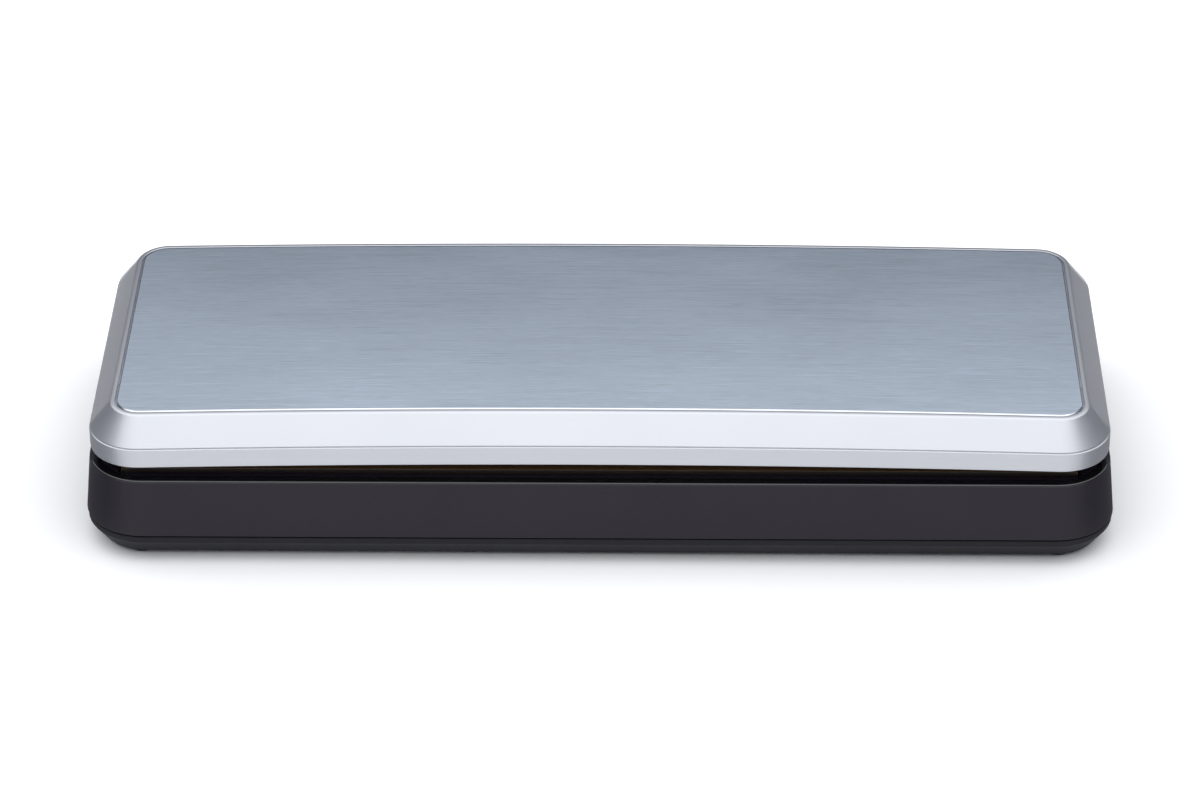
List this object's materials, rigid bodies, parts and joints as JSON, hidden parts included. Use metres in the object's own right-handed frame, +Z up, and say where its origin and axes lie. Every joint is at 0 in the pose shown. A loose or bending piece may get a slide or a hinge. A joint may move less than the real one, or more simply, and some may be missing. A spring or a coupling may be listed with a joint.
{
  "type": "vacuum sealer",
  "caption": "Low, wide household vacuum sealer with a hinged silver lid over a black base, sealing bar, vacuum channel, pump and side buttons.",
  "frame": {"origin": "on the table under the middle of the base, level with the underside of the feet", "axes": "+X to the right along the machine's length, -Y to the front where the bag goes in, +Z up"},
  "size_m": [0.3644, 0.1404, 0.0573],
  "materials": {
    "black_satin": "satin black ABS",
    "black_matte": "fine matte texture",
    "black_rubber": "matte",
    "foam": "closed-cell foam",
    "silver_paint": "fine metallic silver lacquer on ABS",
    "brushed_plate": "brushed along its length, clear-anodised",
    "steel": "plain",
    "brass": "plain",
    "bakelite": "heat-resistant moulding",
    "slip_tape": "coated glass cloth, slippery",
    "silicone": "soft silicone",
    "circuit_board": "solder mask",
    "transformer_tape": "yellow winding tape",
    "capacitor_sleeve": "printed-free sleeve",
    "aluminium": "extruded",
    "button_grey": "satin",
    "clear_lens": "clear",
    "pin_white": "acetal",
    "lead_blue": "insulation",
    "lead_red": "silicone insulation",
    "lead_yellow": "insulation",
    "lead_white": "insulation"
  },
  "bodies": {
    "base": {"base_housing": "black_satin", "bottom_tray": "black_matte", "foot_front_left": "black_rubber", "foot_front_right": "black_rubber", "foot_rear_left": "black_rubber", "foot_rear_right": "black_rubber", "case_screws": "steel", "vacuum_channel": "black_matte", "lower_gasket": "foam", "sealing_bar": "bakelite", "heating_strip": "steel", "slip_tape": "slip_tape", "strip_terminals": "brass", "hinge_rail": "black_matte", "hinge_pin_left": "steel", "hinge_pin_right": "steel", "pump_cradle": "black_rubber", "pump_motor_can": "steel", "motor_end_cap": "black_matte", "pump_head": "black_matte", "pump_diaphragm": "black_rubber", "pump_hose": "silicone", "valve_hose": "silicone", "valve_body": "black_matte", "valve_spring": "steel", "valve_cap": "black_matte", "power_board": "circuit_board", "transformer": "transformer_tape", "capacitors": "capacitor_sleeve", "heat_sink": "aluminium", "control_board": "circuit_board", "tact_switches": "black_matte", "indicator_lens": "clear_lens", "lid_switch": "black_matte", "power_inlet": "black_matte", "inlet_pins": "brass", "mains_leads": "lead_blue", "heater_leads": "lead_red", "motor_leads": "lead_yellow", "control_cable": "lead_white"},
    "lid": {"lid_frame": "silver_paint", "lid_plate": "brushed_plate", "lid_liner": "black_matte", "upper_gasket": "foam", "pressure_strip": "silicone", "lid_screws": "steel"},
    "start_button": {"start_button": "button_grey"},
    "seal_button": {"seal_button": "button_grey"},
    "stop_button": {"stop_button": "button_grey"},
    "lid_switch_pin": {"lid_switch_pin": "pin_white"},
    "pump_rotor": {"pump_rotor": "steel"},
    "valve_plunger": {"valve_plunger": "steel"}
  },
  "joints": [
    {"name": "lid_hinge", "type": "hinge", "parent": "base", "child": "lid", "pos_m": [0, 0.0615, 0.038], "axis": [-1, 0, 0], "range_deg": [-1.2, 68]},
    {"name": "start_button_press", "type": "slide", "parent": "base", "child": "start_button", "axis": [-1, 0, 0], "range_m": [0, 0.0008], "stiffness_N_per_m": 1500},
    {"name": "seal_button_press", "type": "slide", "parent": "base", "child": "seal_button", "axis": [-1, 0, 0], "range_m": [0, 0.0008], "stiffness_N_per_m": 1500},
    {"name": "stop_button_press", "type": "slide", "parent": "base", "child": "stop_button", "axis": [-1, 0, 0], "range_m": [0, 0.0008], "stiffness_N_per_m": 1500},
    {"name": "lid_switch_press", "type": "slide", "parent": "base", "child": "lid_switch_pin", "axis": [0, 0, -1], "range_m": [0, 0.002], "stiffness_N_per_m": 400},
    {"name": "pump_spin", "type": "hinge", "parent": "base", "child": "pump_rotor", "pos_m": [-0.118, 0.026, 0.0172], "axis": [1, 0, 0], "continuous": true},
    {"name": "valve_lift", "type": "slide", "parent": "base", "child": "valve_plunger", "axis": [0, 0, 1], "range_m": [0, 0.0015], "stiffness_N_per_m": 300, "deforming": ["valve_spring"]}
  ]
}
